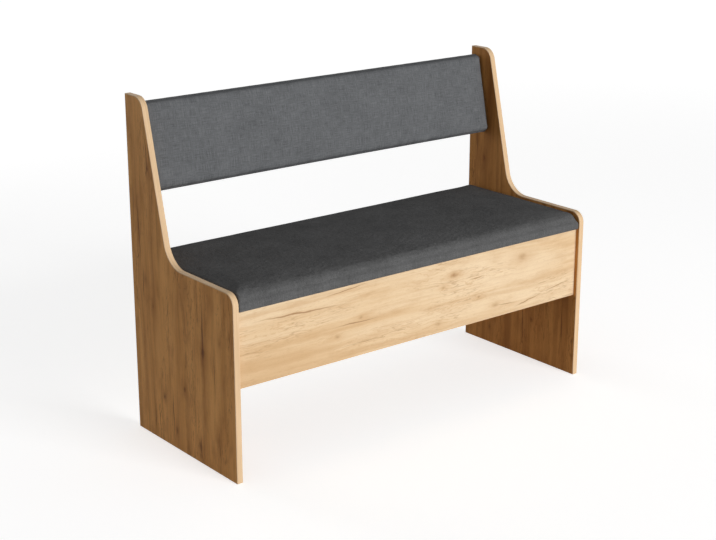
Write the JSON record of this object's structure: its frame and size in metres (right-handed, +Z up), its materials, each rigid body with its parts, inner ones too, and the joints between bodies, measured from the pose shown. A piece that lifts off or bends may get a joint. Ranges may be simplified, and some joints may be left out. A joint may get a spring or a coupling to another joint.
{
  "type": "storage bench",
  "caption": "Straight kitchen bench with contoured oak-look side panels, an upholstered backrest, and a storage box under a padded seat that lifts on hinges.",
  "frame": {"origin": "on the floor, in the middle of the bench's bounding box", "axes": "+X along the bench (the sitter's left), -Y out of the front, +Z up"},
  "size_m": [1.15, 0.446, 0.868],
  "materials": {
    "oak_laminate": "satin, golden oak planks with grain, cracks and knots",
    "oak_edge_band": "satin, paler oak edge strip",
    "hardboard": "matt",
    "softwood": "sanded, bare",
    "cam_metal": "die cast, dull",
    "bolt_metal": "zinc plated",
    "hinge_metal": "zinc plated, satin",
    "screw_metal": "zinc plated",
    "chipboard": "raw, matt",
    "foam": "open cell foam",
    "backrest_fabric": "mid grey linen-like weave",
    "seat_fabric": "charcoal grey weave",
    "lining_fabric": "black non-woven cloth",
    "buffer_rubber": "soft, matt"
  },
  "bodies": {
    "frame": {"side_panel_left": "oak_laminate", "side_panel_right": "oak_laminate", "front_panel": "oak_laminate", "rear_panel": "oak_laminate", "side_front_band_left": "oak_edge_band", "side_front_band_right": "oak_edge_band", "side_back_band_left": "oak_edge_band", "side_back_band_right": "oak_edge_band", "front_panel_top_band": "oak_edge_band", "front_panel_bottom_band": "oak_edge_band", "rear_panel_top_band": "oak_edge_band", "rear_panel_bottom_band": "oak_edge_band", "box_bottom": "hardboard", "bottom_support_rail": "softwood", "wooden_dowels": "softwood", "cam_housings": "cam_metal", "cam_bolts": "bolt_metal", "hinge_pins": "bolt_metal", "hinge_fixed_leaves": "hinge_metal", "hinge_fixed_screws": "screw_metal", "backrest_board": "chipboard", "backrest_foam": "foam", "backrest_cover": "backrest_fabric", "backrest_back_lining": "lining_fabric", "lid_buffers": "buffer_rubber"},
    "seat_lid": {"seat_board": "chipboard", "seat_foam": "foam", "seat_cover": "seat_fabric", "seat_underside_lining": "lining_fabric", "hinge_moving_leaves": "hinge_metal", "hinge_moving_screws": "screw_metal"}
  },
  "joints": [
    {"name": "seat_hinge", "type": "hinge", "parent": "frame", "child": "seat_lid", "pos_m": [0, 0.2125, 0.4205], "axis": [-1, 0, 0], "range_deg": [0, 55]}
  ]
}
